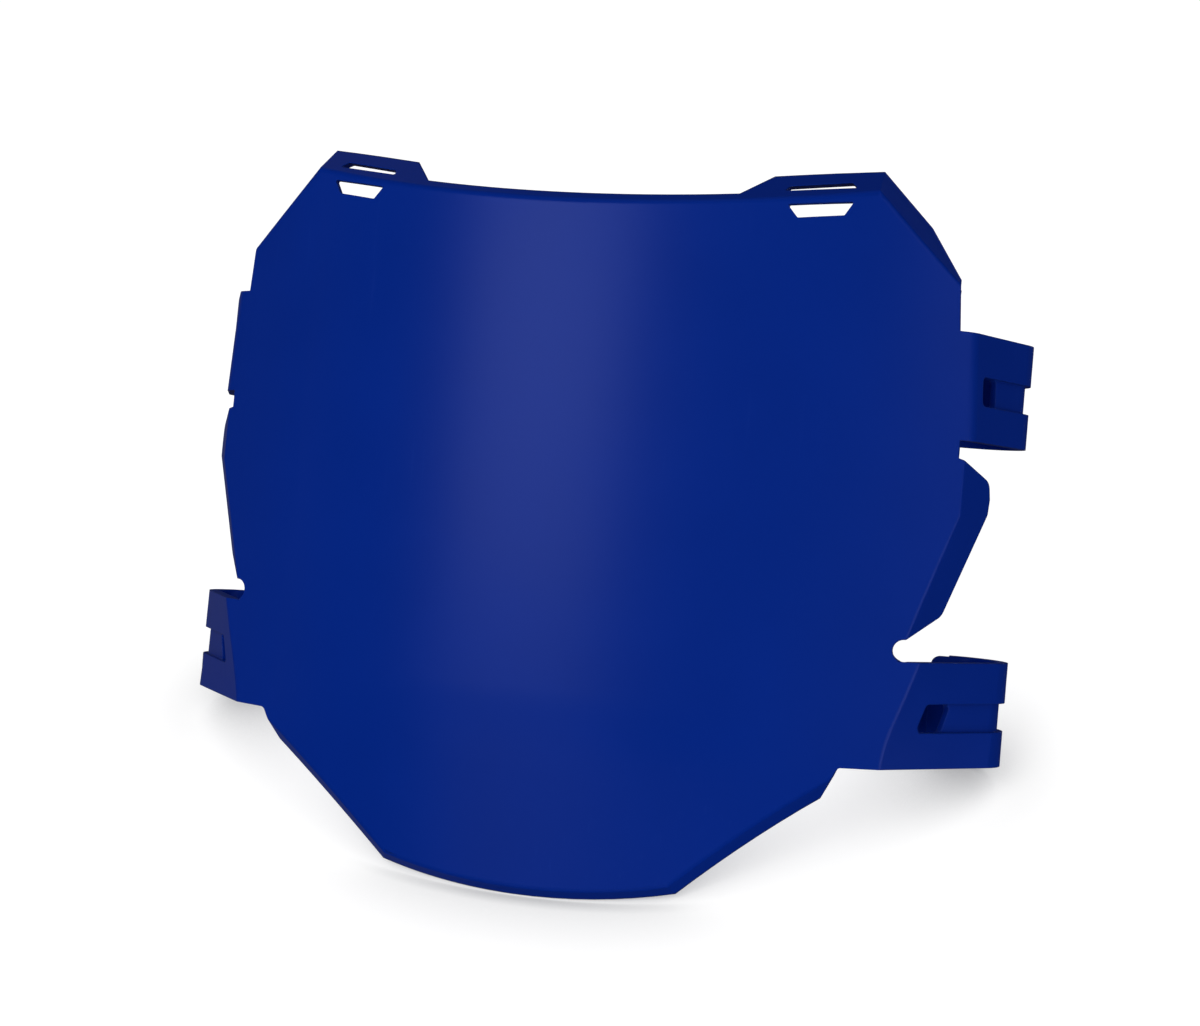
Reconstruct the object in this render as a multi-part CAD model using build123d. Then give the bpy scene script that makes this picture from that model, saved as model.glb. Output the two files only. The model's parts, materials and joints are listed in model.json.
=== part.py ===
"""Racing number board, moulded as one piece: a curved number panel that folds back along its rim,
with two pairs of hook clips that seat on a pair of upright bars and are held by straps.

Units are millimetres and degrees. +X is to the right of a person facing the board, +Y goes from the
number face towards the bars and +Z is up. Heights are taken from the lowest point of the rim.
"""
import os
from math import asin, atan2, cos, hypot, radians, sin, sqrt, tan

from build123d import *

# Panel sizes
panel_radius = 206.6
wall = 2.4
fold_radius = 2.0
bend_top_height = 59.9
bend_radius = 90.0
bend_angle = 14.5

# Top shelf with its lip and two tabs
top_fold_height = 203.2
top_corner_x = 86.8
shelf_angle = 35.1
shelf_crown_radius = 1110.0
lip_depth = 3.8
tab_foot_x = 47.5
tab_inner_x = 55.3
tab_inner_depth = 13.8
tab_outer_x = 86.3
tab_outer_depth = 11.9

# Chamfered shoulders
shoulder_x = 111.0
shoulder_height = 189.4
shoulder_peak_x = 101.0
shoulder_peak_depth = 12.4
shoulder_end_depth = 2.9
side_edge_x = 111.9

# Slots in the panel and in the tabs
panel_slot_outer_top = (80.0, 209.2)
panel_slot_inner_top = (61.7, 206.3)
panel_slot_inner_low = (64.8, 202.7)
panel_slot_outer_low = (77.6, 204.9)
slot_corner_radius = 0.4
tab_slot_inner = (59.8, 210.9)
tab_slot_outer = (80.2, 214.0)
tab_slot_height = 1.9

# Side flanges
side_fold_x = 116.2
side_tilt = 62.5
side_kink_height = 122.0
side_taper = 17.6
side_crease_rise = 7.0
relief_x = 114.4
side_top_start = (34.3, 138.9)
side_top_corner = (49.0, 133.4)
side_widest = (49.9, 128.3)
side_crease_end = (49.3, 123.0)
side_low_corner = (42.0, 92.4)
side_low_end = (28.4, 84.5)
side_corner_radius = 3.5

# Round notch between the side flange and the lower clip
notch_x = 103.9
notch_radius = 3.2

# Lower rim
low_shoulder = (82.0, 39.3)
low_corner = (43.2, 7.3)
bottom_fold_height = 2.4
lip_angle = 61.0
lip_length = 4.9
clip_root_x = 88.6
clip_root_taper = 26.0
clip_root_radius = 1.6

# Bars and hook clips
bar_diameter = 22.2
bar_clearance = 0.3
bar_half_spacing = 117.3
bar_setback = 72.5
clip_wall = 3.2
seat_recess = 0.4
hook_tip_angle = 146.0
hook_tip_radius = 2.6
clip_rake = 3.0
groove_height = 8.7
groove_depth = 1.7
groove_drop = 0.8
strap_slot_radius = 1.8

upper_clip_top = 176.1
upper_clip_low = 144.2
upper_fold_top_x = 116.3
upper_fold_low_x = 118.0
upper_fold_radius = 8.0
upper_slot_start = 5.6
upper_slot_length = 11.5

lower_clip_top = 78.2
lower_clip_low = 46.3
lower_fold_top_x = 108.3
lower_fold_low_x = 97.7
lower_fold_radius = 2.6
lower_slot_start = 11.6
lower_slot_length = 13.2

# Values that follow from the sizes above
seat_radius = (bar_diameter + bar_clearance) / 2
hook_radius = seat_radius + clip_wall
far = 400.0
back_limit = 112.0
upper_split_x = shoulder_x - 1.5
lower_split_x = clip_root_x + clip_root_radius + 0.2


def front_y(x):
    """Set-back of the upright part of the panel front at a distance x from the middle."""
    return panel_radius - sqrt(panel_radius**2 - x**2)


def apron_y(x, z):
    """Set-back of the panel front below its bend."""
    turn = radians(bend_angle)
    reach = bend_radius - front_y(x)
    y_end = bend_radius - reach * cos(turn)
    z_end = bend_top_height - reach * sin(turn)
    return y_end + (z_end - z) * tan(turn)


def shelf_z(x, y):
    """Height of the top shelf."""
    crown = shelf_crown_radius - sqrt(shelf_crown_radius**2 - x**2)
    return top_fold_height + y * tan(radians(shelf_angle)) - crown


def half_space(point, normal, inset=0.0):
    """Block that fills the side of a plane away from its normal, moved in by the inset."""
    plane = Plane(origin=point, z_dir=normal)
    return plane * Pos(0, 0, -far / 2 - inset) * Box(2 * far, 2 * far, far)


def plane_normal(a, b, c, outward):
    """Unit normal of the plane through three points, on the outward side."""
    normal = (Vector(*b) - Vector(*a)).cross(Vector(*c) - Vector(*a)).normalized()
    return normal if normal.dot(Vector(*outward)) > 0 else -normal


def flip(vector):
    """Mirror image of a vector about the middle plane."""
    return Vector(-vector.X, vector.Y, vector.Z)


def both_sides(solid):
    """A solid with its mirror image about the middle plane."""
    return [solid, mirror(solid, about=Plane.YZ)]


def soften(solid, edges, radius):
    """Round the edges, easing the radius if the largest does not fit."""
    for share in (1.0, 0.8, 0.6, 0.4):
        try:
            rounded = fillet(edges, radius * share)
        except Exception:
            continue
        if rounded.is_valid and rounded.volume > 0:
            return rounded
    return solid


def front_prism(points, y_near=-30.0, y_far=150.0, corner=0.0):
    """Prism along Y over an outline seen from the front."""
    face = make_face(Polyline(*[(x, 0, z) for x, z in points], close=True))
    if corner > 0:
        face = fillet(face.vertices(), corner)
    return extrude(Pos(0, y_near, 0) * face, y_far - y_near, dir=(0, 1, 0))


def side_prism(points, x_near, x_far, corners=(), corner=0.0):
    """Prism along X over an outline seen from the side, with some corners rounded."""
    face = make_face(Polyline(*[(0, y, z) for y, z in points], close=True))
    if corner > 0:
        chosen = []
        for vertex in face.vertices():
            if any(abs(vertex.Y - y) + abs(vertex.Z - z) < 0.01 for y, z in corners):
                chosen.append(vertex)
        face = fillet(chosen, corner)
    return extrude(Pos(x_near, 0, 0) * face, x_far - x_near, dir=(1, 0, 0))


def front_section(inset, depth):
    """Plan face behind the panel front, back to a depth."""
    disc = Pos(0, panel_radius) * Circle(panel_radius - inset)
    window = Pos(0, depth / 2 - 10) * Rectangle(300, depth + 20)
    return disc & window


def behind_panel(inset, depth):
    """Everything behind the upright part of the panel front."""
    face = Pos(0, 0, bend_top_height) * front_section(inset, depth)
    return extrude(face, 200, dir=(0, 0, 1))


def behind_apron(inset):
    """Everything behind the bend and the leaning apron of the panel, for a limited depth."""
    face = (Pos(0, 0, bend_top_height) * front_section(inset, 60)).face()
    axis = Axis((0, bend_radius, bend_top_height), (1, 0, 0))
    bend = revolve(face, axis, bend_angle)
    end_face = face.rotate(axis, bend_angle)
    turn = radians(bend_angle)
    return bend + extrude(end_face, 90, dir=(0, sin(turn), -cos(turn)))


def behind_apron_shifted(depth):
    """Everything further behind the apron front than a depth along Y."""
    return Pos(0, depth, 0) * behind_apron(0.0)


def is_corner(edge):
    """Whether an edge runs back from the panel, as a corner between two flanges does."""
    return abs((edge % 0.5).Y) > 0.7


def is_fold(edge, skip_planes):
    """Whether an edge of a rim body is a fold, and not part of a cut."""
    ends = [edge @ 0.0, edge @ 0.5, edge @ 1.0]
    for point, normal in skip_planes:
        if all(abs((Vector(*p) - Vector(*point)).dot(Vector(*normal))) < 0.01 for p in ends):
            return False
    return True


# Rim planes of the upper body, worked out from points on the folds
corner_point = (top_corner_x, front_y(top_corner_x), shelf_z(top_corner_x, front_y(top_corner_x)))
shoulder_point = (shoulder_x, front_y(shoulder_x), shoulder_height)
tab_back_y = front_y(top_corner_x) + tab_outer_depth
tab_back_point = (tab_outer_x, tab_back_y, shelf_z(tab_outer_x, tab_back_y))
shoulder_normal = plane_normal(corner_point, shoulder_point, tab_back_point, (1, 0, 1))
kink_point = (side_fold_x, front_y(side_fold_x), side_kink_height)
side_normal = Vector(sin(radians(side_tilt)), -cos(radians(side_tilt)), 0)
taper_drop = 34.0
taper_x = side_fold_x - taper_drop * tan(radians(side_taper))
taper_point = (taper_x, front_y(taper_x), side_kink_height - taper_drop)
crease_reach = 15.0
crease_point = (
    side_fold_x + crease_reach * cos(radians(side_tilt)),
    front_y(side_fold_x) + crease_reach * sin(radians(side_tilt)),
    side_kink_height + crease_reach * tan(radians(side_crease_rise)),
)
taper_normal = plane_normal(kink_point, taper_point, crease_point, (1, 0, 0))

# Raked planes that end the clips
lower_top_point = (0, front_y(lower_fold_top_x), lower_clip_top)
lower_low_point = (0, front_y(lower_fold_low_x), lower_clip_low)
upper_top_point = (0, front_y(upper_fold_top_x), upper_clip_top)
upper_low_point = (0, front_y(upper_fold_low_x), upper_clip_low)


def raked_height(point, rake, y):
    """Height of a raked plane at a set-back y."""
    return point[2] + (y - point[1]) * tan(radians(rake))


def clip_slab(top_point, low_point, x_near):
    """Slice between the top and the lower raked plane of a clip."""
    near, rear = -40.0, 160.0
    outline = [
        (near, raked_height(low_point, clip_rake, near)),
        (rear, raked_height(low_point, clip_rake, rear)),
        (rear, raked_height(top_point, clip_rake, rear)),
        (near, raked_height(top_point, clip_rake, near)),
    ]
    return side_prism(outline, x_near, 170.0)


def upper_body(inset, depth):
    """Body behind the upper panel, bounded by the planes of the shelf, shoulders and sides."""
    drop = inset / cos(radians(shelf_angle))
    reach = 160.0
    low = -200.0
    crown_end = shelf_z(reach, 0) - drop
    arch = ThreePointArc((-reach, 0, crown_end), (0, 0, top_fold_height - drop), (reach, 0, crown_end))
    sides = Polyline((reach, 0, crown_end), (reach, 0, low), (-reach, 0, low), (-reach, 0, crown_end))
    run = (0, cos(radians(shelf_angle)), sin(radians(shelf_angle)))
    under_shelf = extrude(Pos(0, -60, -60 * tan(radians(shelf_angle))) * make_face(arch + sides), 300, dir=run)
    body = behind_panel(inset, depth) & under_shelf
    for normal, point in (
        (shoulder_normal, corner_point),
        (side_normal, kink_point),
        (taper_normal, kink_point),
    ):
        body = body & half_space(point, normal, inset)
        mirrored_point = (-point[0], point[1], point[2])
        body = body & half_space(mirrored_point, flip(normal), inset)
    return body


def lower_body(inset):
    """Body behind the lower panel and the apron, bounded by the lips of the lower rim."""
    swing = radians(lip_angle)
    lip_run = (0, sin(swing), -cos(swing))
    fold_y = apron_y(0, bottom_fold_height)
    half_chord = low_corner[0]
    rise = inset / sin(swing)
    corner_y = apron_y(low_corner[0], low_corner[1])
    corner_rise = low_corner[1] + (corner_y - fold_y) * cos(swing) / sin(swing) - bottom_fold_height
    radius = (half_chord**2 + corner_rise**2) / (2 * corner_rise)
    reach = min(120.0, radius * 0.95)
    end_z = bottom_fold_height + rise + radius - sqrt(radius**2 - reach**2)
    arch = ThreePointArc((-reach, fold_y, end_z), (0, fold_y, bottom_fold_height + rise), (reach, fold_y, end_z))
    top = end_z + 260.0
    sides = Polyline((reach, fold_y, end_z), (reach, fold_y, top), (-reach, fold_y, top), (-reach, fold_y, end_z))
    back_step = Pos(0, -40 * sin(swing), 40 * cos(swing))
    over_bottom = extrude(back_step * make_face(arch + sides), 140, dir=lip_run)
    body = (behind_panel(inset, 60) + behind_apron(inset)) & over_bottom
    a = (low_shoulder[0], apron_y(*low_shoulder), low_shoulder[1])
    b = (low_corner[0], corner_y, low_corner[1])
    along = atan2(a[2] - b[2], a[0] - b[0])
    outward = (sin(along) * cos(swing), sin(swing), -cos(along) * cos(swing))
    c = (a[0] + outward[0], a[1] + outward[1], a[2] + outward[2])
    normal = plane_normal(a, b, c, (1, 0, -1))
    body = body & half_space(a, normal, inset)
    body = body & half_space((-a[0], a[1], a[2]), flip(normal), inset)
    return body


def clip_angle(fold_x):
    """Plan angle of a clip wall that runs from a fold to the hook."""
    dx = bar_half_spacing - fold_x
    dy = bar_setback - front_y(fold_x)
    return atan2(dy, dx) - asin(hook_radius / hypot(dx, dy))


def clip_plan(fold_x, inset, z, x_inner):
    """Plan outline inside a clip wall and its hook, moved in by the inset."""
    angle = clip_angle(fold_x)
    radius = hook_radius - inset
    centre = Vector(bar_half_spacing, bar_setback, z)
    touch = centre + Vector(radius * sin(angle), -radius * cos(angle), 0)
    run = (touch.Y + 20.0) / sin(angle)
    start = touch - Vector(run * cos(angle), run * sin(angle), 0)
    tip = radians(hook_tip_angle)
    end = centre + Vector(radius * cos(tip), radius * sin(tip), 0)
    half = (angle - radians(90) + tip) / 2
    crest = centre + Vector(radius * cos(half), radius * sin(half), 0)
    lines = Line(start, touch) + ThreePointArc(touch, crest, end)
    lines += Polyline(end, (x_inner, end.Y, z), (x_inner, start.Y, z), start)
    return make_face(lines)


class Clip:
    """One hook clip on the right-hand side."""

    def __init__(self, top_point, low_point, fold_top_x, fold_low_x, radius, slot_start, slot_length, split_x):
        self.top_point = top_point
        self.low_point = low_point
        self.fold_top_x = fold_top_x
        self.fold_low_x = fold_low_x
        self.radius = radius
        self.slot_start = slot_start
        self.slot_length = slot_length
        self.split_x = split_x
        self.middle = (top_point[2] + low_point[2]) / 2

    def fold_x(self, z):
        """Distance of the fold from the middle plane at a height."""
        share = (z - self.low_point[2]) / (self.top_point[2] - self.low_point[2])
        return self.fold_low_x + share * (self.fold_top_x - self.fold_low_x)

    def body(self, inset):
        """Ruled body inside the wall and the hook."""
        high = self.top_point[2] + 8.0
        low = self.low_point[2] - 4.0
        x_inner = 30.0 - (5.0 if inset > 0 else 0.0)
        upper_face = clip_plan(self.fold_x(high), inset, high, x_inner)
        lower_face = clip_plan(self.fold_x(low), inset, low, x_inner)
        return loft([lower_face, upper_face], ruled=True)

    def front(self, inset):
        """Body behind the panel where the clip grows from it."""
        body = behind_panel(inset, back_limit + inset)
        if self.low_point[2] - 5.0 < bend_top_height:
            rear = Pos(100, 80 + inset / 2, bend_top_height - 20) * Box(120, 64 + inset, 40)
            body = body + behind_apron(inset) + rear
        return body

    def rounded(self, front_inset, clip_inset, radius):
        """The body in front of and inside the clip, with its fold rounded."""
        solid = self.front(front_inset) & self.body(clip_inset)
        x = self.fold_x(self.middle)
        target = Vector(x, front_y(x), self.middle)
        folds = []
        for edge in solid.edges():
            middle = edge @ 0.5
            lift = abs((edge % 0.5).Z)
            if lift > 0.8 and hypot(middle.X - target.X, middle.Y - target.Y) < 12.0:
                folds.append(edge)
        return soften(solid, folds, radius)

    def build(self):
        """Finished clip with its strap groove and strap slot."""
        outer = self.rounded(0.0, 0.0, self.radius)
        inner = self.rounded(wall, clip_wall + seat_recess, max(self.radius - wall, 0.6))
        shell = outer - inner
        tip = radians(hook_tip_angle)
        tip_x = bar_half_spacing + seat_radius * cos(tip)
        tip_y = bar_setback + seat_radius * sin(tip)
        shell = shell & clip_slab(self.top_point, self.low_point, min(self.split_x, tip_x - 1.0))
        panel_side = Pos(self.split_x - 50, bar_setback - 100, self.middle) * Box(100, 200, 120)
        shell = shell - panel_side
        open_back = Pos(tip_x - 55, bar_setback + 50, self.middle) * Box(120, 100, 120)
        low_z = raked_height(self.low_point, clip_rake, tip_y)
        top_z = raked_height(self.top_point, clip_rake, tip_y)
        tongue = front_prism(
            [(tip_x, low_z), (tip_x + 60, low_z), (tip_x + 60, top_z), (tip_x, top_z)],
            0.0, 140.0, hook_tip_radius,
        )
        shell = shell - (open_back - tongue)
        bar = Pos(bar_half_spacing, bar_setback, self.middle) * Cylinder(seat_radius, 120)
        shell = shell - bar
        shell = shell - self.groove()
        shell = shell - self.strap_slot()
        return shell

    def frame(self):
        """Wall direction, wall normal and fold point half way up the clip."""
        x = self.fold_x(self.middle)
        angle = clip_angle(x)
        along = Vector(cos(angle), sin(angle), 0)
        normal = Vector(sin(angle), -cos(angle), 0)
        return along, normal, Vector(x, front_y(x), self.middle)

    def strap_height(self, y):
        """Height of the middle of the strap at a set-back y."""
        top = raked_height(self.top_point, clip_rake, y)
        low = raked_height(self.low_point, clip_rake, y)
        return (top + low) / 2 - groove_drop

    def groove(self):
        """Band cut from the outside of the wall and the hook for the strap."""
        along, _, fold = self.frame()
        start = fold + along * (self.slot_start + self.slot_length / 2)
        ring = self.body(-3.0) - self.body(groove_depth)
        ring = ring & half_space(tuple(start), -along)
        near, rear = 0.0, 130.0
        near_z = self.strap_height(near)
        rear_z = self.strap_height(rear)
        half = groove_height / 2
        band = [(near, near_z - half), (rear, rear_z - half), (rear, rear_z + half), (near, near_z + half)]
        return ring & side_prism(band, 90.0, 160.0)

    def strap_slot(self):
        """Through slot in the wall where the strap turns in."""
        along, normal, fold = self.frame()
        rake = tan(radians(clip_rake))
        base = self.strap_height(fold.Y + self.slot_start * along.Y)
        shift_x = self.fold_x(base + 1) - self.fold_x(base)
        shift = shift_x * along.X + (front_y(fold.X + shift_x) - front_y(fold.X)) * along.Y
        half = groove_height / 2
        corners = []
        for s, z in (
            (self.slot_start, -half),
            (self.slot_start + self.slot_length, -half),
            (self.slot_start + self.slot_length, half),
            (self.slot_start, half),
        ):
            point = fold + along * (s + shift * (base + z - self.middle))
            corners.append(Vector(point.X, point.Y, base + z + (s - self.slot_start) * rake * along.Y))
        face = make_face(Polyline(*corners, close=True))
        face = fillet(face.vertices(), strap_slot_radius)
        return extrude(face, 8.0, dir=normal, both=True)


def build_upper():
    """Upper panel with its shelf, shoulders and side flanges."""
    depth = 75.0
    cut_normal = (0, -sin(radians(clip_rake)), cos(radians(clip_rake)))
    above = half_space(lower_top_point, tuple(-Vector(*cut_normal)))
    skip = [(lower_top_point, cut_normal), ((0, depth, 0), (0, 1, 0))]
    outer = upper_body(0.0, depth) & above
    outer = soften(outer, [e for e in outer.edges() if is_fold(e, skip) and not is_corner(e)], fold_radius)
    inner = upper_body(wall, depth + 3) & half_space(lower_top_point, tuple(-Vector(*cut_normal)), -3.0)
    skip = [(Vector(*lower_top_point) - Vector(*cut_normal) * 3.0, cut_normal), ((0, depth + 3, 0), (0, 1, 0))]
    inner = soften(inner, [e for e in inner.edges() if is_fold(e, skip) and not is_corner(e)], max(fold_radius - wall, 0.6))
    shell = outer - inner
    lip_end = (tab_foot_x, front_y(tab_foot_x) + lip_depth)
    trim = [
        lip_end,
        (tab_inner_x, front_y(tab_inner_x) + tab_inner_depth),
        (tab_outer_x, tab_back_y),
        (shoulder_peak_x, front_y(shoulder_peak_x) + shoulder_peak_depth),
        (shoulder_x, front_y(shoulder_x) + shoulder_end_depth),
        (shoulder_x + 40, front_y(shoulder_x) + shoulder_end_depth),
        (shoulder_x + 40, 130),
    ]
    lip_line = ThreePointArc((-lip_end[0], lip_end[1]), (0, lip_depth), lip_end)
    right = Polyline(*trim)
    left = Polyline(*[(-x, y) for x, y in trim])
    rear = Line((shoulder_x + 40, 130), (-shoulder_x - 40, 130))
    behind_rim = make_face(lip_line + right + left + rear)
    low_z = shoulder_height - 1.0
    shell = shell - extrude(Pos(0, 0, low_z) * behind_rim, 120, dir=(0, 0, 1))
    edge_cut = front_prism([
        (shoulder_x, 300),
        (shoulder_x, shoulder_height),
        (side_edge_x, upper_clip_top),
        (side_edge_x, upper_clip_top - 6),
        (180, upper_clip_top - 6),
        (180, 300),
    ])
    keep = side_prism(
        [
            (-40, side_low_end[1]),
            side_low_end,
            side_low_corner,
            side_crease_end,
            side_widest,
            side_top_corner,
            side_top_start,
            (-40, side_top_start[1]),
        ],
        90.0,
        180.0,
        (side_low_corner, side_top_corner),
        side_corner_radius,
    )
    split_z = side_kink_height - 5.0
    low_box_height = split_z - side_low_end[1]
    low_box = Pos(notch_x + 50, 50, split_z - low_box_height / 2) * Box(100, 160, low_box_height)
    high_z = upper_clip_low + 3.0
    high_box = Pos(relief_x + 50, 50, (split_z + high_z) / 2) * Box(100, 160, high_z - split_z)
    notch_top = side_low_end[1]
    notch_gap = Pos(notch_x + 50, 50, notch_top - 15) * Box(100, 160, 30)
    cuts = [
        clip_slab(upper_top_point, upper_low_point, upper_split_x),
        edge_cut,
        low_box - keep,
        high_box - keep,
        notch_gap,
    ]
    for cut in cuts:
        for piece in both_sides(cut):
            shell = shell - piece
    return shell


def build_lower():
    """Lower panel and apron with the lips of the lower rim."""
    cut_normal = (0, -sin(radians(clip_rake)), cos(radians(clip_rake)))
    half = lower_split_x
    window = Pos(0, 50, 0) * Box(2 * half, 300, 600)
    outer = lower_body(0.0) & half_space(lower_top_point, cut_normal) & window
    skip = [
        (lower_top_point, cut_normal),
        ((half, 0, 0), (1, 0, 0)),
        ((-half, 0, 0), (1, 0, 0)),
    ]
    outer = soften(outer, lower_folds(outer, skip), fold_radius)
    window = Pos(0, 50, 0) * Box(2 * half + 6, 300, 600)
    inner = lower_body(wall) & half_space(lower_top_point, cut_normal, -3.0) & window
    skip = [
        (Vector(*lower_top_point) + Vector(*cut_normal) * 3.0, cut_normal),
        ((half + 3, 0, 0), (1, 0, 0)),
        ((-half - 3, 0, 0), (1, 0, 0)),
    ]
    inner = soften(inner, lower_folds(inner, skip), max(fold_radius - wall, 0.6))
    shell = outer - inner
    depth = lip_length * sin(radians(lip_angle))
    rim = behind_apron(-1.0) - behind_apron_shifted(depth)
    shell = shell & (rim + Pos(0, 60, bend_top_height + 40) * Box(300, 260, 80))
    root = front_prism([
        (clip_root_x + 4 * tan(radians(clip_root_taper)), lower_clip_low + 4),
        (clip_root_x - 36 * tan(radians(clip_root_taper)), lower_clip_low - 36),
        (170, lower_clip_low - 36),
        (170, lower_clip_low + 4),
    ])
    root = root & half_space(lower_low_point, cut_normal)
    root_edges = []
    for edge in root.edges():
        middle = edge @ 0.5
        if abs(edge.length) > 100 and middle.X < clip_root_x + 2 and middle.Z > lower_clip_low - 20:
            root_edges.append(edge)
    root = soften(root, root_edges, clip_root_radius)
    for piece in both_sides(root):
        shell = shell - piece
    return shell


def lower_folds(solid, skip_planes):
    """Fold edges of the lower rim."""
    chosen = []
    for edge in solid.edges():
        middle = edge @ 0.5
        if middle.Z > lower_clip_low - 1.0:
            continue
        if middle.Y > apron_y(min(abs(middle.X), 120), middle.Z) + 30:
            continue
        if is_fold(edge, skip_planes) and not is_corner(edge):
            chosen.append(edge)
    return chosen


upper_clip = Clip(
    upper_top_point, upper_low_point, upper_fold_top_x, upper_fold_low_x,
    upper_fold_radius, upper_slot_start, upper_slot_length, upper_split_x,
)
lower_clip = Clip(
    lower_top_point, lower_low_point, lower_fold_top_x, lower_fold_low_x,
    lower_fold_radius, lower_slot_start, lower_slot_length, lower_split_x,
)


def panel_slots():
    """Cutters for the slots in the panel and in the tabs, right-hand side."""
    outline = [panel_slot_outer_top, panel_slot_inner_top, panel_slot_inner_low, panel_slot_outer_low]
    panel_cut = front_prism(outline, -20.0, 24.0, slot_corner_radius)
    outline = [
        tab_slot_inner,
        tab_slot_outer,
        (tab_slot_outer[0] - tab_slot_height, tab_slot_outer[1] + tab_slot_height),
        (tab_slot_inner[0] + tab_slot_height / 2, tab_slot_inner[1] + tab_slot_height),
    ]
    tab_cut = front_prism(outline, -20.0, 80.0, slot_corner_radius)
    return [panel_cut, tab_cut]


def build_board():
    """The whole board, with its origin under the middle of its box."""
    board = build_upper() + build_lower()
    for piece in both_sides(upper_clip.build()) + both_sides(lower_clip.build()):
        board = board + piece
    notch_z = (side_low_end[1] + raked_height(lower_top_point, clip_rake, front_y(notch_x))) / 2
    notch = Pos(notch_x, 40, notch_z) * Rot(90, 0, 0) * Cylinder(notch_radius, 120)
    for cut in panel_slots() + [notch]:
        for piece in both_sides(cut):
            board = board - piece
    board = board.clean()
    box = board.bounding_box()
    middle = (box.min.Y + box.max.Y) / 2
    return Pos(0, -middle, -box.min.Z) * board


number_board = build_board()
number_board.label = "number_board"
os.makedirs("parts", exist_ok=True)
export_step(number_board, "parts/number_board.step")
print("solids", len(number_board.solids()), "volume", round(number_board.volume / 1000, 1), "cm3")
print("box", number_board.bounding_box())
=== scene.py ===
"""Looks of a racing number board: one moulding of satin blue plastic under soft studio light."""
from __future__ import annotations

import json
import logging
import math
from dataclasses import dataclass, field
from enum import Enum
from typing import Any, Dict, List, Optional, Sequence, Tuple, Union

import bmesh
import bpy
from mathutils import Matrix, Vector


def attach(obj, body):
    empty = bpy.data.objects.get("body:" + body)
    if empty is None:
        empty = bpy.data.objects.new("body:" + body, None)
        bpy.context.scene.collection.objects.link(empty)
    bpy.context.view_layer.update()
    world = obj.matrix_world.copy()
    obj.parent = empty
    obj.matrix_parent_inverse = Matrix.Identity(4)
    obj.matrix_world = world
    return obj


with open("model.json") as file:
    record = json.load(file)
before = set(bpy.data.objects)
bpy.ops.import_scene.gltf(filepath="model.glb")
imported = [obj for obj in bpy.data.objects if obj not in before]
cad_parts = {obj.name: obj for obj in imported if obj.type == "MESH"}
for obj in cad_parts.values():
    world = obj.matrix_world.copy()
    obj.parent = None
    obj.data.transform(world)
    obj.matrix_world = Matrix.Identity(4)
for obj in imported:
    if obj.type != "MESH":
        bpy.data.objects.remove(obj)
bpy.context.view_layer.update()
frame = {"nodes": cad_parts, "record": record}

log = logging.getLogger("number_board")

Colour = Tuple[float, float, float]
Point = Tuple[float, float, float]
SocketKey = Union[int, str]


class Value:
    """A socket that takes part in sums, so that shader maths reads as ordinary expressions."""

    def __init__(self, graph: "Graph", socket: bpy.types.NodeSocket) -> None:
        """Keep the socket and the graph it belongs to.

        Args:
            graph: Graph that new nodes are added to.
            socket: Output socket that gives the value.
        """
        self.graph = graph
        self.socket = socket

    def combine(self, operation: str, first: Any, second: Any) -> "Value":
        """Add one Math node.

        Args:
            operation: Name of the sum.
            first: First number or value.
            second: Second number or value.

        Returns:
            The result as a value.
        """
        return self.graph.node("ShaderNodeMath", {"operation": operation}, {0: first, 1: second}).value()

    def __add__(self, other: Any) -> "Value":
        """Sum."""
        return self.combine("ADD", self, other)

    def __radd__(self, other: Any) -> "Value":
        """Sum with a number in front."""
        return self.combine("ADD", other, self)

    def __sub__(self, other: Any) -> "Value":
        """Difference."""
        return self.combine("SUBTRACT", self, other)

    def __rsub__(self, other: Any) -> "Value":
        """Difference from a number."""
        return self.combine("SUBTRACT", other, self)

    def __mul__(self, other: Any) -> "Value":
        """Product."""
        return self.combine("MULTIPLY", self, other)

    def __rmul__(self, other: Any) -> "Value":
        """Product with a number in front."""
        return self.combine("MULTIPLY", other, self)

    def at_least(self, other: Any) -> "Value":
        """Greater of two values."""
        return self.combine("MAXIMUM", self, other)


class Placed:
    """A node that was added to a graph, with its outputs at hand."""

    def __init__(self, graph: "Graph", node: bpy.types.Node) -> None:
        """Keep the node.

        Args:
            graph: Graph that the node is in.
            node: The node itself.
        """
        self.graph = graph
        self.node = node

    def out(self, key: SocketKey = 0) -> bpy.types.NodeSocket:
        """One output socket."""
        return self.node.outputs[key]

    def value(self, key: SocketKey = 0) -> Value:
        """One output as a value for sums."""
        return Value(self.graph, self.node.outputs[key])


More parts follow.
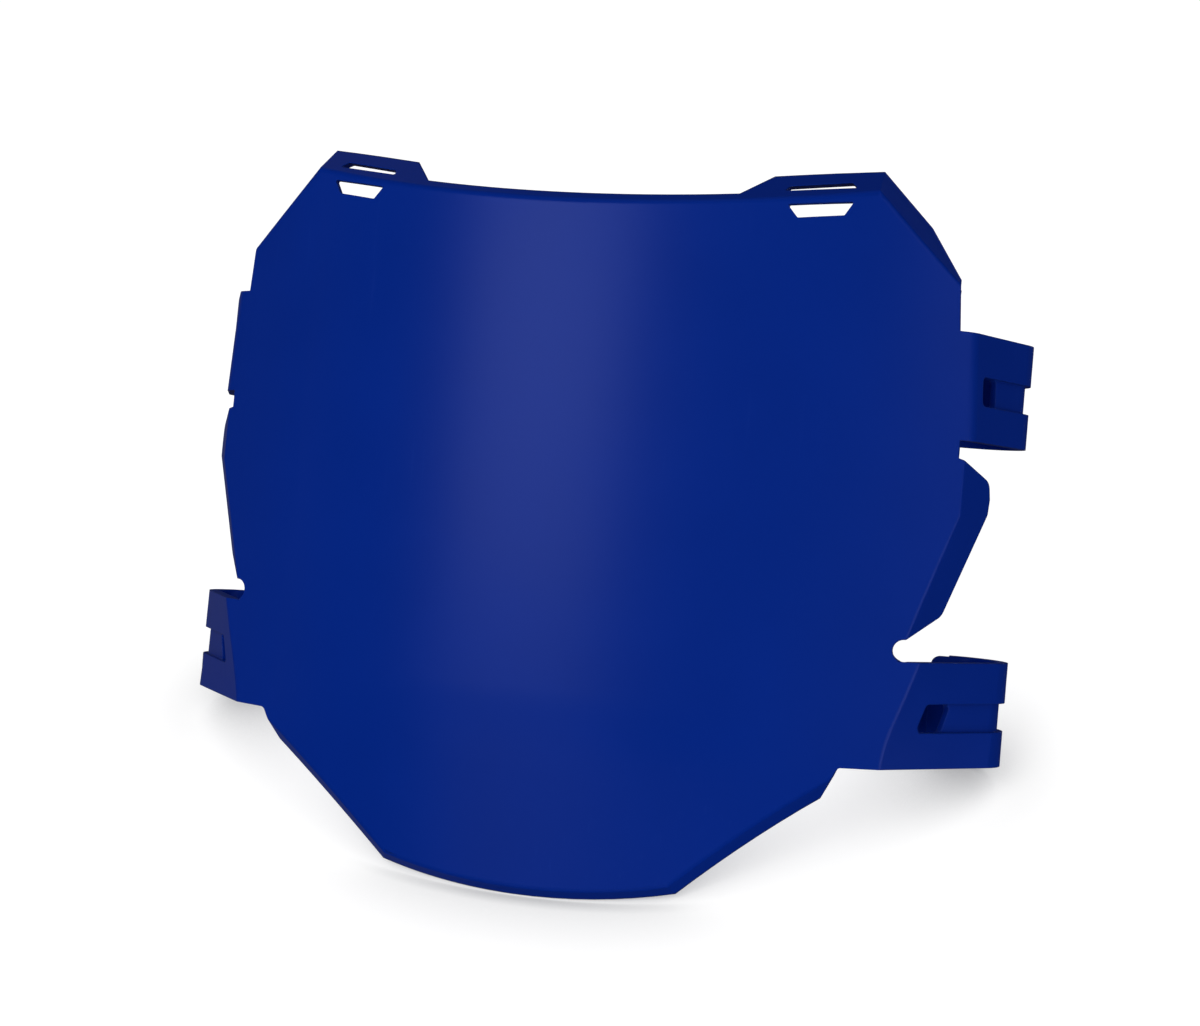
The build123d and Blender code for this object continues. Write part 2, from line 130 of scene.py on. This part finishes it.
class Graph:
    """A node tree that nodes are added to in one way."""

    def __init__(self, tree: bpy.types.NodeTree) -> None:
        """Empty the tree.

        Args:
            tree: Node tree of a material or of the world.
        """
        self.tree = tree
        tree.nodes.clear()

    def node(self, kind: str, settings: Optional[Dict[str, Any]] = None,
             inputs: Optional[Dict[SocketKey, Any]] = None) -> Placed:
        """Add a node, set it up and feed its sockets.

        Args:
            kind: Blender's name of the node type.
            settings: Settings of the node, or the stops of a ramp under the name stops.
            inputs: Numbers, colours, values or sockets for its inputs.

        Returns:
            The node that was added.
        """
        made = self.tree.nodes.new(kind)
        for name, setting in (settings or {}).items():
            if name == "stops":
                self.set_stops(made, setting)
            else:
                setattr(made, name, setting)
        for key, given in (inputs or {}).items():
            if isinstance(given, Value):
                self.tree.links.new(given.socket, made.inputs[key])
            elif isinstance(given, bpy.types.NodeSocket):
                self.tree.links.new(given, made.inputs[key])
            else:
                made.inputs[key].default_value = given
        return Placed(self, made)

    @staticmethod
    def set_stops(ramp: bpy.types.Node, stops: Sequence[Tuple[float, float]]) -> None:
        """Give a ramp its grey stops.

        Args:
            ramp: Colour ramp node.
            stops: Pairs of place and grey level, at least two.
        """
        elements = ramp.color_ramp.elements
        while len(elements) < len(stops):
            elements.new(1.0)
        for element, (place, grey) in zip(elements, stops):
            element.position = place
            element.color = (grey, grey, grey, 1.0)

    def ramp(self, given: Any, stops: Sequence[Tuple[float, float]]) -> Value:
        """Pass a value through a ramp of greys."""
        return self.node("ShaderNodeValToRGB", {"stops": stops}, {0: given}).value()

    def mix(self, share: Any, low: Any, high: Any) -> bpy.types.NodeSocket:
        """Blend two colours.

        Args:
            share: Share of the second colour.
            low: Colour or socket at a share of 0.
            high: Colour or socket at a share of 1.

        Returns:
            The blended colour's socket.
        """
        inputs = {0: share, 6: opaque(low), 7: opaque(high)}
        return self.node("ShaderNodeMix", {"data_type": "RGBA"}, inputs).out(2)


def opaque(colour: Any) -> Any:
    """A colour with full alpha, or the socket as it is."""
    if isinstance(colour, tuple) and len(colour) == 3:
        return (*colour, 1.0)
    return colour


def facing(azimuth: float, elevation: float) -> Vector:
    """Direction from the board towards a place round it.

    Args:
        azimuth: Degrees round the board, 0 in front and 90 at its right.
        elevation: Degrees above the level.

    Returns:
        Unit vector.
    """
    turn = math.radians(azimuth)
    lift = math.radians(elevation)
    return Vector((math.sin(turn) * math.cos(lift), -math.cos(turn) * math.cos(lift), math.sin(lift)))


@dataclass(frozen=True)
class SatinPlastic:
    """Solid blue plastic as it leaves a satin mould, with a lighter colour painted on its edges as an edge
    highlight and faint scuffs.
    """

    pigment: Colour = (0.0004, 0.0188, 0.228)
    # lighter blue for the faint scuffs and for the painted edge highlight
    scuff_and_edge_highlight: Colour = (0.012, 0.046, 0.310)
    cloud_depth: float = 0.03
    roughness: float = 0.31
    gloss: float = 0.2
    gloss_tint: Colour = (0.36, 0.44, 1.0)
    edge_radius: float = 0.0007
    grain_per_metre: float = 2600.0
    grain_height: float = 0.00002
    clouds_per_metre: float = 26.0
    waves_per_metre: float = 9.0
    wave_height: float = 0.0002
    patches_per_metre: float = 16.0
    scuff_turn: Point = (0.15, 0.3, 0.5)
    scuffs_per_metre: Point = (900.0, 900.0, 26.0)
    scuff_depth: float = 0.000004
    scuff_share: float = 0.10
    # share of the lighter blue painted on sharp edges as an edge highlight
    edge_highlight_share: float = 0.35
    bump_strength: float = 0.35
    cloud_dulling: float = 0.05
    grain_dulling: float = 0.06
    edge_dulling: float = 0.06
    scuff_dulling: float = 0.08

    def build(self) -> bpy.types.Material:
        """Make the material.

        Returns:
            The plastic as a node material.
        """
        material = bpy.data.materials.new("satin_blue_plastic")
        material.use_nodes = True
        graph = Graph(material.node_tree)
        place = graph.node("ShaderNodeTexCoord").out("Object")
        clouds = self.noise(graph, place, self.clouds_per_metre, 4.0)
        grain = self.noise(graph, place, self.grain_per_metre, 2.0)
        waves = self.noise(graph, place, self.waves_per_metre, 1.0)
        edge = self.edge_mask(graph)
        hairs = self.hairlines(graph, place)
        shade = graph.mix(
            graph.ramp(clouds, ((0.3, 0.0), (0.7, 1.0))),
            tuple(part * (1 - self.cloud_depth) for part in self.pigment),
            tuple(part * (1 + self.cloud_depth) for part in self.pigment),
        )
        shade = graph.mix(hairs * self.scuff_share, shade, self.scuff_and_edge_highlight)
        # painted edge highlight: sharp edges are lightened towards the lighter blue
        shade = graph.mix(edge * self.edge_highlight_share, shade, self.scuff_and_edge_highlight)
        rough = self.roughness + (clouds - 0.5) * self.cloud_dulling + (grain - 0.5) * self.grain_dulling
        rough = rough + edge * self.edge_dulling + hairs * self.scuff_dulling
        rounded = graph.node("ShaderNodeBevel", {"samples": 6}, {"Radius": self.edge_radius}).out()
        relief = grain * self.grain_height + waves * self.wave_height - hairs * self.scuff_depth
        bump = graph.node(
            "ShaderNodeBump",
            None,
            {"Strength": self.bump_strength, "Distance": 1.0, "Height": relief, "Normal": rounded},
        ).out()
        shader = graph.node(
            "ShaderNodeBsdfPrincipled",
            None,
            {
                "Base Color": shade,
                "Roughness": rough,
                "Specular IOR Level": self.gloss,
                "Specular Tint": opaque(self.gloss_tint),
                "IOR": 1.5,
                "Normal": bump,
            },
        )
        graph.node("ShaderNodeOutputMaterial", None, {"Surface": shader.out()})
        return material

    @staticmethod
    def noise(graph: Graph, place: bpy.types.NodeSocket, scale: float, detail: float) -> Value:
        """Spread a soft noise over the board.

        Args:
            graph: Graph of the material.
            place: Place on the board.
            scale: Lumps in a metre.
            detail: Finer layers of the noise.

        Returns:
            Value about one half.
        """
        inputs = {"Vector": place, "Scale": scale, "Detail": detail}
        return graph.node("ShaderNodeTexNoise", None, inputs).value()

    def edge_mask(self, graph: Graph) -> Value:
        """Mark the sharp edges, where a lighter colour is painted as an edge highlight and the surface is
        duller.

        Args:
            graph: Graph of the material.

        Returns:
            Value near 1 at a sharp edge and 0 on a flat.
        """
        rounded = graph.node("ShaderNodeBevel", {"samples": 6}, {"Radius": self.edge_radius}).out()
        flat = graph.node("ShaderNodeNewGeometry").out("Normal")
        agree = graph.node(
            "ShaderNodeVectorMath", {"operation": "DOT_PRODUCT"}, {0: rounded, 1: flat}
        ).value("Value")
        return graph.ramp(1 - agree, ((0.02, 0.0), (0.28, 1.0)))

    def hairlines(self, graph: Graph, place: bpy.types.NodeSocket) -> Value:
        """Draw the faint scuffs that a board picks up when it is wiped.

        Args:
            graph: Graph of the material.
            place: Place on the board.

        Returns:
            Value near 1 on a scuff.
        """
        stretched = graph.node(
            "ShaderNodeMapping",
            None,
            {"Vector": place, "Rotation": self.scuff_turn, "Scale": self.scuffs_per_metre},
        ).out()
        lines = self.noise(graph, stretched, 1.0, 1.0)
        patches = self.noise(graph, place, self.patches_per_metre, 2.0)
        fine = graph.ramp(lines, ((0.66, 0.0), (0.74, 1.0)))
        return fine * graph.ramp(patches, ((0.52, 0.0), (0.68, 1.0)))


@dataclass
class NumberBoard:
    """The moulding itself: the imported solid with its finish."""

    node: str = "number_board"
    slot: str = "blue_plastic"
    finish: SatinPlastic = field(default_factory=SatinPlastic)

    def build(self) -> bpy.types.Object:
        """Find the moulding in the frame."""
        return frame["nodes"][self.node]

    def dress(self, board: bpy.types.Object, ends: Sequence[bpy.types.Object]) -> None:
        """Give the moulding and the ends of its hooks their finish.

        Args:
            board: The moulding.
            ends: The ends of the hooks.
        """
        plastic = self.finish.build()
        board.data.materials.clear()
        for piece in (board, *ends):
            piece.data.materials.append(plastic)


@dataclass(frozen=True)
class HookEnd:
    """Tapered end of a hook, which carries its curve on round the bar."""

    wall: float = 0.0031
    inlay: float = 0.00006
    start: float = 140.0
    leave: float = 160.0
    end: float = 174.0
    root_half: float = 0.0128
    tip_half: float = 0.0066
    steps: int = 12
    edge: float = 0.0005
    sharpest: float = 40.0

    def build(self, mount: Dict[str, Any]) -> bpy.types.Object:
        """Make the end of one hook.

        Args:
            mount: The hook's seat in the record.

        Returns:
            The end piece.
        """
        seat = mount["dims"]["r_mm"] / 1000 + self.inlay
        outside = seat + self.wall
        points = []
        faces = []
        for step in range(self.steps + 1):
            share = step / self.steps
            half = self.root_half + (self.tip_half - self.root_half) * share
            angle = self.start + (self.end - self.start) * share
            for radius, rise in ((seat, -half), (outside, -half), (outside, half), (seat, half)):
                points.append(self.place(mount["pos_m"], angle, radius, rise))
        for step in range(self.steps):
            first = 4 * step
            for corner in range(4):
                after = (corner + 1) % 4
                faces.append((first + corner, first + after, first + 4 + after, first + 4 + corner))
        faces.append((3, 2, 1, 0))
        last = 4 * self.steps
        faces.append((last, last + 1, last + 2, last + 3))
        name = mount["name"].replace("clip", "hook_end")
        mesh = bpy.data.meshes.new(name)
        mesh.from_pydata(points, [], faces)
        tip = bpy.data.objects.new(name, mesh)
        bpy.context.scene.collection.objects.link(tip)
        self.finish_mesh(tip)
        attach(tip, "root")
        return tip

    def place(self, centre: Sequence[float], angle: float, radius: float, rise: float) -> Point:
        """One point of the end piece, which leaves the circle and runs straight at its tip.

        Args:
            centre: Middle of the hook's seat.
            angle: Degrees round the bar from the outer side, by way of the back.
            radius: Distance from the bar's axis.
            rise: Height over the middle of the seat.

        Returns:
            The point.
        """
        side = 1.0 if centre[0] > 0 else -1.0
        turn = math.radians(min(angle, self.leave))
        run = math.radians(max(angle - self.leave, 0.0)) * radius
        across = radius * math.cos(turn) - run * math.sin(turn)
        back = radius * math.sin(turn) + run * math.cos(turn)
        return (centre[0] + side * across, centre[1] + back, centre[2] + rise)

    def finish_mesh(self, piece: bpy.types.Object) -> None:
        """Turn the faces outwards and round the edges.

        Args:
            piece: The end piece.
        """
        form = bmesh.new()
        form.from_mesh(piece.data)
        bmesh.ops.recalc_face_normals(form, faces=form.faces)
        form.to_mesh(piece.data)
        form.free()
        rounding = piece.modifiers.new("rounded_edges", "BEVEL")
        rounding.width = self.edge
        rounding.segments = 3
        rounding.limit_method = "ANGLE"
        rounding.angle_limit = math.radians(self.sharpest)


class LampRole(Enum):
    """What a lamp is for."""

    KEY = "key"
    TOP = "top"
    BOUNCE = "bounce"
    EDGE = "edge"
    SHEEN = "sheen"
    FRONT = "front_fill"
    LEFT = "left_fill"
    RIGHT = "right_fill"
    UNDER = "under_fill"
    BACK = "back_fill"


@dataclass(frozen=True)
class SoftLamp:
    """A rectangular soft box aimed at the board."""

    role: LampRole
    azimuth: float
    elevation: float
    distance: float
    width: float
    height: float
    radiance: float
    mirrored: bool = True

    def build(self, aim: Vector) -> bpy.types.Object:
        """Hang the lamp.

        Args:
            aim: Point that the lamp looks at.

        Returns:
            The lamp.
        """
        data = bpy.data.lights.new(self.role.value, "AREA")
        data.shape = "RECTANGLE"
        data.size = self.width
        data.size_y = self.height
        data.energy = self.radiance * math.pi * self.width * self.height
        lamp = bpy.data.objects.new(self.role.value, data)
        bpy.context.scene.collection.objects.link(lamp)
        towards = facing(self.azimuth, self.elevation)
        lamp.location = aim + towards * self.distance
        lamp.rotation_euler = towards.to_track_quat("Z", "Y").to_euler()
        lamp.visible_glossy = self.mirrored
        return lamp


@dataclass(frozen=True)
class Drape:
    """A curved cloth round the board that only its gloss shows, so that the sides mirror no white room."""

    name: str
    start: float
    end: float
    low: float
    high: float
    grey: float
    radius: float = 2.2
    step: float = 10.0

    def build(self, aim: Vector) -> bpy.types.Object:
        """Hang the drape.

        Args:
            aim: Point that the drape goes round.

        Returns:
            The drape.
        """
        columns = max(1, round((self.end - self.start) / self.step))
        rows = max(1, round((self.high - self.low) / self.step))
        points = []
        for row in range(rows + 1):
            elevation = self.low + (self.high - self.low) * row / rows
            for column in range(columns + 1):
                azimuth = self.start + (self.end - self.start) * column / columns
                points.append(aim + facing(azimuth, elevation) * self.radius)
        faces = []
        for row in range(rows):
            for column in range(columns):
                first = row * (columns + 1) + column
                faces.append((first, first + 1, first + columns + 2, first + columns + 1))
        mesh = bpy.data.meshes.new(self.name)
        mesh.from_pydata(points, [], faces)
        drape = bpy.data.objects.new(self.name, mesh)
        bpy.context.scene.collection.objects.link(drape)
        mesh.materials.append(self.cloth())
        drape.visible_camera = False
        drape.visible_diffuse = False
        drape.visible_transmission = False
        drape.visible_shadow = False
        return drape

    def cloth(self) -> bpy.types.Material:
        """Make the cloth.

        Returns:
            An even grey as a node material.
        """
        material = bpy.data.materials.new(self.name)
        material.use_nodes = True
        graph = Graph(material.node_tree)
        grey = (self.grey, self.grey, self.grey, 1.0)
        glow = graph.node("ShaderNodeEmission", None, {"Color": grey, "Strength": 1.0})
        graph.node("ShaderNodeOutputMaterial", None, {"Surface": glow.out()})
        material.cycles.emission_sampling = "NONE"
        return material


@dataclass(frozen=True)
class PaleSurface:
    """White card that keeps the shadow of the board, with a painted contact shadow darkening its glow near
    the board, and is seen from its face only.
    """

    whiteness: float = 0.28
    own_light: float = 0.96
    # reach of the painted contact shadow in the card's glow
    shade_reach: float = 0.05

    def build(self, name: str) -> bpy.types.Material:
        """Make the material.

        Args:
            name: Name of the material.

        Returns:
            The card as a node material.
        """
        material = bpy.data.materials.new(name)
        material.use_nodes = True
        graph = Graph(material.node_tree)
        path = graph.node("ShaderNodeLightPath")
        seen = path.value("Is Camera Ray").at_least(path.value("Is Glossy Ray"))
        seen = seen.at_least(path.value("Is Transmission Ray"))
        white = (self.whiteness, self.whiteness, self.whiteness, 1.0)
        card = graph.node("ShaderNodeBsdfDiffuse", None, {"Color": white})
        # painted contact shadow: ambient occlusion darkens the card's glow where the board is near
        near = graph.node("ShaderNodeAmbientOcclusion", {"samples": 12}, {"Distance": self.shade_reach})
        strength = seen * self.own_light
        glow = graph.node("ShaderNodeEmission", None, {"Color": near.out("Color"), "Strength": strength})
        lit = graph.node("ShaderNodeAddShader", None, {0: card.out(), 1: glow.out()})
        clear = graph.node("ShaderNodeBsdfTransparent")
        behind = graph.node("ShaderNodeNewGeometry").out("Backfacing")
        sided = graph.node("ShaderNodeMixShader", None, {0: behind, 1: lit.out(), 2: clear.out()})
        graph.node("ShaderNodeOutputMaterial", None, {"Surface": sided.out()})
        return material


@dataclass
class Table:
    """The pale table that the board leans on, touching its bottom arc and its lower hooks."""

    steepest: float = 60.0
    gap: float = 0.0004
    reach: float = 6.0
    halvings: int = 20
    surface: PaleSurface = field(default_factory=PaleSurface)

    def build(self, board: bpy.types.Object) -> bpy.types.Object:
        """Lay the table under the board.

        Args:
            board: The moulding.

        Returns:
            The table top.
        """
        lean = self.settle(board)
        normal = self.normal(lean)
        lowest = min(normal.dot(vertex.co) for vertex in board.data.vertices)
        mesh = bpy.data.meshes.new("table")
        half = self.reach / 2
        corners = [(-half, -half, 0.0), (half, -half, 0.0), (half, half, 0.0), (-half, half, 0.0)]
        mesh.from_pydata(corners, [], [(0, 1, 2, 3)])
        table = bpy.data.objects.new("table", mesh)
        bpy.context.scene.collection.objects.link(table)
        table.location = normal * (lowest - self.gap)
        table.rotation_euler = (lean, 0.0, 0.0)
        mesh.materials.append(self.surface.build("pale_table"))
        table.visible_diffuse = False
        table.visible_glossy = False
        table.visible_transmission = False
        table.visible_shadow = False
        return table

    @staticmethod
    def normal(lean: float) -> Vector:
        """Upward direction of a table that leans back by an angle in radians."""
        return Vector((0.0, -math.sin(lean), math.cos(lean)))

    def settle(self, board: bpy.types.Object) -> float:
        """Find the lean at which the bottom arc and the lower hooks both touch the table.

        Args:
            board: The moulding.

        Returns:
            Angle in radians.
        """
        points = [vertex.co for vertex in board.data.vertices]
        flatter, steeper = 0.0, math.radians(self.steepest)
        for _ in range(self.halvings):
            lean = (flatter + steeper) / 2
            normal = self.normal(lean)
            lowest = min(points, key=normal.dot)
            if lowest.y > 0.0:
                steeper = lean
            else:
                flatter = lean
        return (flatter + steeper) / 2


@dataclass
class Studio:
    """Soft light round the board and the white beyond it."""

    aim: Point = (0.0, -0.02, 0.11)
    ambient: float = 0.12
    lamps: List[SoftLamp] = field(
        default_factory=lambda: [
            SoftLamp(LampRole.KEY, -18.0, 12.0, 1.2, 0.66, 0.55, 5.2),
            SoftLamp(LampRole.TOP, 0.0, 72.0, 1.4, 1.0, 0.8, 0.6, mirrored=False),
            SoftLamp(LampRole.BOUNCE, -18.0, -24.0, 1.2, 0.70, 0.62, 0.9),
            SoftLamp(LampRole.EDGE, 84.0, -14.0, 1.5, 0.35, 0.9, 3.0),
            SoftLamp(LampRole.SHEEN, 66.0, 20.0, 1.5, 0.55, 0.6, 1.4),
            SoftLamp(LampRole.FRONT, 8.0, 12.0, 1.5, 1.6, 1.2, 0.42, mirrored=False),
            SoftLamp(LampRole.LEFT, -85.0, 0.0, 1.5, 1.0, 1.2, 0.9, mirrored=False),
            SoftLamp(LampRole.RIGHT, 55.0, -10.0, 1.5, 1.0, 1.2, 1.15, mirrored=False),
            SoftLamp(LampRole.UNDER, 0.0, -55.0, 1.2, 1.2, 1.2, 0.9, mirrored=False),
            SoftLamp(LampRole.BACK, 175.0, 18.0, 1.6, 1.4, 1.2, 3.2, mirrored=False),
        ]
    )
    drapes: List[Drape] = field(
        default_factory=lambda: [
            Drape("front_drape", -110.0, 110.0, -60.0, 60.0, 0.0),
            Drape("back_drape", 110.0, 210.0, -60.0, 60.0, 0.02),
            Drape("left_drape", 210.0, 250.0, -60.0, 60.0, 0.08),
            Drape("top_drape", -180.0, 180.0, 60.0, 90.0, 0.03),
            Drape("floor_drape", -180.0, 180.0, -90.0, -60.0, 0.02),
        ]
    )

    def build(self) -> None:
        """Hang the lamps and light the room."""
        for lamp in self.lamps:
            made = lamp.build(Vector(self.aim))
            log.info("lamp %s at %s", made.name, tuple(round(part, 3) for part in made.location))
        for drape in self.drapes:
            log.info("drape %s", drape.build(Vector(self.aim)).name)
        self.room()

    def room(self) -> None:
        """Fill the room with even light and make it white to the camera."""
        world = bpy.data.worlds.new("studio")
        bpy.context.scene.world = world
        world.use_nodes = True
        world.cycles.sampling_method = "NONE"
        graph = Graph(world.node_tree)
        path = graph.node("ShaderNodeLightPath")
        seen = path.value("Is Camera Ray").at_least(path.value("Is Glossy Ray"))
        seen = seen.at_least(path.value("Is Transmission Ray"))
        level = self.ambient + seen * (1.0 - self.ambient)
        light = graph.node("ShaderNodeBackground", None, {"Color": (1.0, 1.0, 1.0, 1.0), "Strength": level})
        graph.node("ShaderNodeOutputWorld", None, {"Surface": light.out()})


@dataclass(frozen=True)
class PhotoCamera:
    """Camera at the photograph's place, fitted to the panel's outline."""

    place: Point = (0.16092, -0.62719, 0.08303)
    right: Point = (0.9679, 0.2338, 0.0921)
    up: Point = (-0.0777, -0.0702, 0.9945)
    back: Point = (0.2390, -0.9697, -0.0497)
    lens: float = 63.0
    sensor: float = 36.0
    nearest: float = 0.01
    farthest: float = 50.0

    def build(self) -> bpy.types.Object:
        """Set up the camera.

        Returns:
            The camera.
        """
        data = bpy.data.cameras.new("photo_camera")
        data.lens = self.lens
        data.sensor_width = self.sensor
        data.clip_start = self.nearest
        data.clip_end = self.farthest
        camera = bpy.data.objects.new("photo_camera", data)
        bpy.context.scene.collection.objects.link(camera)
        turn = Matrix((self.right, self.up, self.back)).transposed().to_4x4()
        camera.matrix_world = Matrix.Translation(Vector(self.place)) @ turn
        bpy.context.scene.camera = camera
        return camera


def main() -> None:
    """Build the scene in order and report each piece."""
    logging.basicConfig(level=logging.INFO, format="%(name)s: %(message)s")
    bpy.context.scene.view_settings.view_transform = "Standard"
    number_board = NumberBoard()
    board = number_board.build()
    ends = [HookEnd().build(mount) for mount in frame["record"]["mounts"]]
    number_board.dress(board, ends)
    log.info("board %s with %d faces", board.name, len(board.data.polygons))
    for end in ends:
        log.info("hook end %s", end.name)
    table = Table().build(board)
    log.info("table %s", table.name)
    Studio().build()
    camera = PhotoCamera().build()
    log.info("camera %s", camera.name)


if __name__ == "__main__":
    main()
